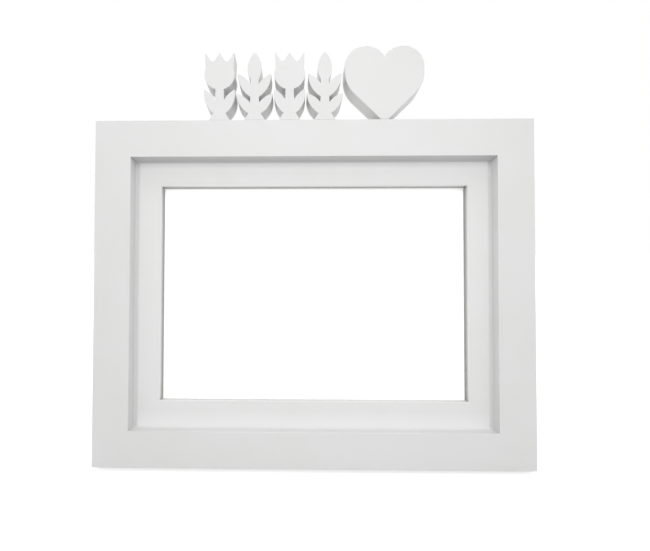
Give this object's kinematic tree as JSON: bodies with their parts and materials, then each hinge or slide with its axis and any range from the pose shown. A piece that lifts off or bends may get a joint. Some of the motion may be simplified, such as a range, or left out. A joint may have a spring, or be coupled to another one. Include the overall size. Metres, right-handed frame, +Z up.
{
  "type": "tabletop photo frame",
  "caption": "White lacquered tabletop photo frame with a stepped inner slip around a landscape print, cut-out plants and a heart along the top, and a folding easel leg behind.",
  "frame": {"origin": "centre of the standing frame's footprint, on the table top", "axes": "+X to the right as seen from the front, +Y away from the viewer towards the leg, +Z straight up; the frame leans back by twelve degrees"},
  "size_m": [0.232, 0.0772, 0.2218],
  "materials": {
    "lacquered_board": "satin white lacquer sprayed over fine fibre board",
    "bright_steel": "bright drawn wire and strip",
    "zinc_plated_steel": "bright zinc plating on pressed sheet",
    "clear_glass": "clear float glass, polished",
    "white_paper": "plain white, satin",
    "grey_card": "plain grey card",
    "brown_hardboard": "bare hardboard, smooth side out"
  },
  "bodies": {
    "frame": {"top_rail": "lacquered_board", "bottom_rail": "lacquered_board", "left_stile": "lacquered_board", "right_stile": "lacquered_board", "slip_top": "lacquered_board", "slip_bottom": "lacquered_board", "slip_left": "lacquered_board", "slip_right": "lacquered_board", "corner_nails": "bright_steel", "tulip_left": "lacquered_board", "sprig_left": "lacquered_board", "tulip_right": "lacquered_board", "sprig_right": "lacquered_board", "heart": "lacquered_board", "crest_pins": "bright_steel", "pane": "clear_glass", "print_card": "white_paper", "filler_card": "grey_card", "backing_board": "brown_hardboard", "button_screws": "zinc_plated_steel", "leg_bracket": "zinc_plated_steel", "bracket_rivets": "zinc_plated_steel", "hinge_pin": "zinc_plated_steel"},
    "leg": {"easel_leg": "lacquered_board"},
    "button_top_left": {"button_top_left": "zinc_plated_steel"},
    "button_top_right": {"button_top_right": "zinc_plated_steel"},
    "button_bottom_left": {"button_bottom_left": "zinc_plated_steel"},
    "button_bottom_right": {"button_bottom_right": "zinc_plated_steel"},
    "button_left": {"button_left": "zinc_plated_steel"},
    "button_right": {"button_right": "zinc_plated_steel"}
  },
  "joints": [
    {"name": "leg_hinge", "type": "hinge", "parent": "frame", "child": "leg", "pos_m": [0, 0.01148, 0.11309], "axis": [1, 0, 0], "range_deg": [-24, 0]},
    {"name": "button_top_left_turn", "type": "hinge", "parent": "frame", "child": "button_top_left", "pos_m": [-0.062, 0.01951, 0.17324], "axis": [0, 0.9781, -0.2079], "continuous": true},
    {"name": "button_top_right_turn", "type": "hinge", "parent": "frame", "child": "button_top_right", "pos_m": [0.062, 0.01951, 0.17324], "axis": [0, 0.9781, -0.2079], "continuous": true},
    {"name": "button_bottom_left_turn", "type": "hinge", "parent": "frame", "child": "button_bottom_left", "pos_m": [-0.062, -0.01646, 0.00402], "axis": [0, 0.9781, -0.2079], "continuous": true},
    {"name": "button_bottom_right_turn", "type": "hinge", "parent": "frame", "child": "button_bottom_right", "pos_m": [0.062, -0.01646, 0.00402], "axis": [0, 0.9781, -0.2079], "continuous": true},
    {"name": "button_left_turn", "type": "hinge", "parent": "frame", "child": "button_left", "pos_m": [-0.1105, 0.00152, 0.08863], "axis": [0, 0.9781, -0.2079], "continuous": true},
    {"name": "button_right_turn", "type": "hinge", "parent": "frame", "child": "button_right", "pos_m": [0.1105, 0.00152, 0.08863], "axis": [0, 0.9781, -0.2079], "continuous": true}
  ]
}
